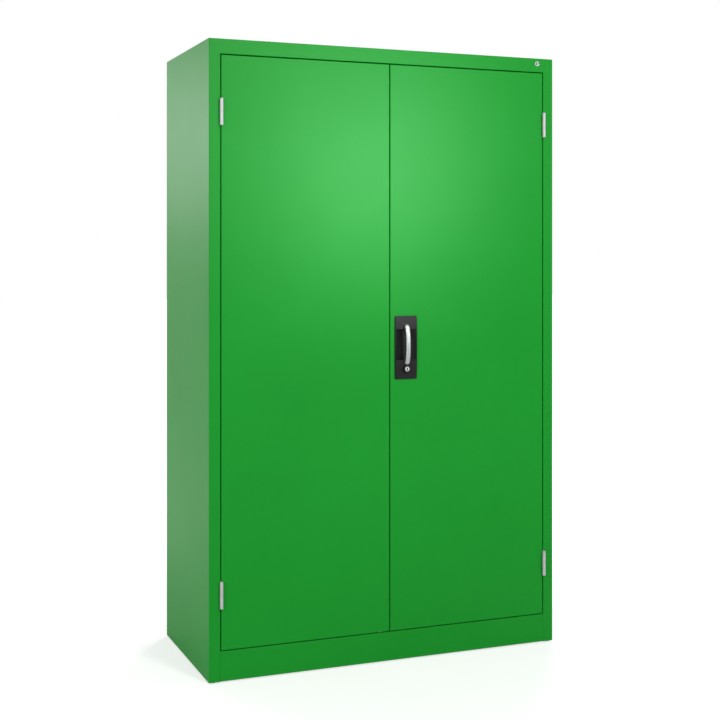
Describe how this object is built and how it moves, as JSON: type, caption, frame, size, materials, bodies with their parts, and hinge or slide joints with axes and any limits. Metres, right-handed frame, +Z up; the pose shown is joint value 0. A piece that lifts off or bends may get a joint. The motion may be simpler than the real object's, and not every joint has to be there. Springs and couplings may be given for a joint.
{
  "type": "tool cabinet with doors",
  "caption": "Tall steel cabinet with hinged double doors, a recessed pull handle with rod lock, and adjustable shelves on slotted uprights.",
  "frame": {"origin": "on the floor under the middle of the whole cabinet, bow handle included, so 13.6 mm in front of the middle of the body", "axes": "+X to the right as seen from the front, +Y from the doors towards the back, +Z up"},
  "size_m": [1.2, 0.5272, 1.95],
  "materials": {
    "body_paint": "satin powder coat, leaf green",
    "door_paint": "satin powder coat, leaf green",
    "galvanised": "galvanised sheet, fine spangle",
    "zinc_plate": "bright zinc plated",
    "hinge_steel": "satin nickel plated steel",
    "black_plastic": "fine leather-grain moulded plastic",
    "bow_metal": "satin silver lacquered die casting",
    "lock_chrome": "satin chromed",
    "case_metal": "raw zinc die casting",
    "guide_plastic": "moulded polyamide",
    "rubber": "matt black rubber",
    "badge_metal": "plain satin disc"
  },
  "bodies": {
    "cabinet": {"side_panel_left": "body_paint", "side_panel_right": "body_paint", "back_panel": "body_paint", "top_panel": "body_paint", "base_panel": "body_paint", "badge_plate": "badge_metal", "door_stop_top": "body_paint", "door_stop_bottom": "body_paint", "stop_buffers": "rubber", "upright_front_left": "galvanised", "upright_front_right": "galvanised", "upright_rear_left": "galvanised", "upright_rear_right": "galvanised", "shelf_1": "galvanised", "shelf_2": "galvanised", "shelf_3": "galvanised", "shelf_4": "galvanised", "shelf_clips": "galvanised", "corner_gussets": "body_paint", "foot_front_left": "body_paint", "foot_front_right": "body_paint", "foot_rear_left": "body_paint", "foot_rear_right": "body_paint", "foot_nuts": "zinc_plate", "frame_hinge_left_top": "hinge_steel", "frame_hinge_left_bottom": "hinge_steel", "frame_hinge_right_top": "hinge_steel", "frame_hinge_right_bottom": "hinge_steel", "hinge_pins": "hinge_steel"},
    "left_door": {"door_left": "door_paint", "stiffener_left": "door_paint", "door_hinge_left_top": "hinge_steel", "door_hinge_left_bottom": "hinge_steel", "bolt_bracket_top": "zinc_plate", "bolt_bracket_bottom": "zinc_plate"},
    "right_door": {"door_right": "door_paint", "stiffener_right": "door_paint", "door_hinge_right_top": "hinge_steel", "door_hinge_right_bottom": "hinge_steel", "handle_plate": "black_plastic", "bow_handle": "bow_metal", "bow_screws": "zinc_plate", "lock_housing": "lock_chrome", "lock_nut": "zinc_plate", "lock_case": "case_metal", "lock_case_cover": "zinc_plate", "lock_case_screws": "zinc_plate", "rod_guides": "guide_plastic"},
    "key_plug": {"lock_plug": "lock_chrome", "lock_pinion": "zinc_plate", "lock_cam": "zinc_plate", "cam_screw": "zinc_plate"},
    "upper_rod": {"rod_upper": "zinc_plate"},
    "lower_rod": {"rod_lower": "zinc_plate"},
    "top_bolt": {"shoot_bolt_top": "zinc_plate", "bolt_knob_top": "black_plastic"},
    "bottom_bolt": {"shoot_bolt_bottom": "zinc_plate", "bolt_knob_bottom": "black_plastic"}
  },
  "joints": [
    {"name": "left_door_swing", "type": "hinge", "parent": "cabinet", "child": "left_door", "pos_m": [-0.5625, -0.2439, 0.999], "axis": [0, 0, -1], "range_deg": [0, 180]},
    {"name": "right_door_swing", "type": "hinge", "parent": "cabinet", "child": "right_door", "pos_m": [0.5625, -0.2439, 0.999], "axis": [0, 0, 1], "range_deg": [0, 180]},
    {"name": "key_turn", "type": "hinge", "parent": "right_door", "child": "key_plug", "pos_m": [0.0553, -0.2364, 0.931], "axis": [0, -1, 0], "range_deg": [0, 90]},
    {"name": "upper_rod_slide", "type": "slide", "parent": "right_door", "child": "upper_rod", "axis": [0, 0, 1], "range_m": [0, 0.01414]},
    {"name": "lower_rod_slide", "type": "slide", "parent": "right_door", "child": "lower_rod", "axis": [0, 0, -1], "range_m": [0, 0.01414]},
    {"name": "top_bolt_slide", "type": "slide", "parent": "left_door", "child": "top_bolt", "axis": [0, 0, 1], "range_m": [0, 0.015]},
    {"name": "bottom_bolt_slide", "type": "slide", "parent": "left_door", "child": "bottom_bolt", "axis": [0, 0, -1], "range_m": [0, 0.015]}
  ],
  "couplings": [
    {"joint": "key_turn", "follows": "upper_rod_slide", "rad_per_m": 111.11},
    {"joint": "lower_rod_slide", "follows": "upper_rod_slide", "ratio": 1}
  ]
}
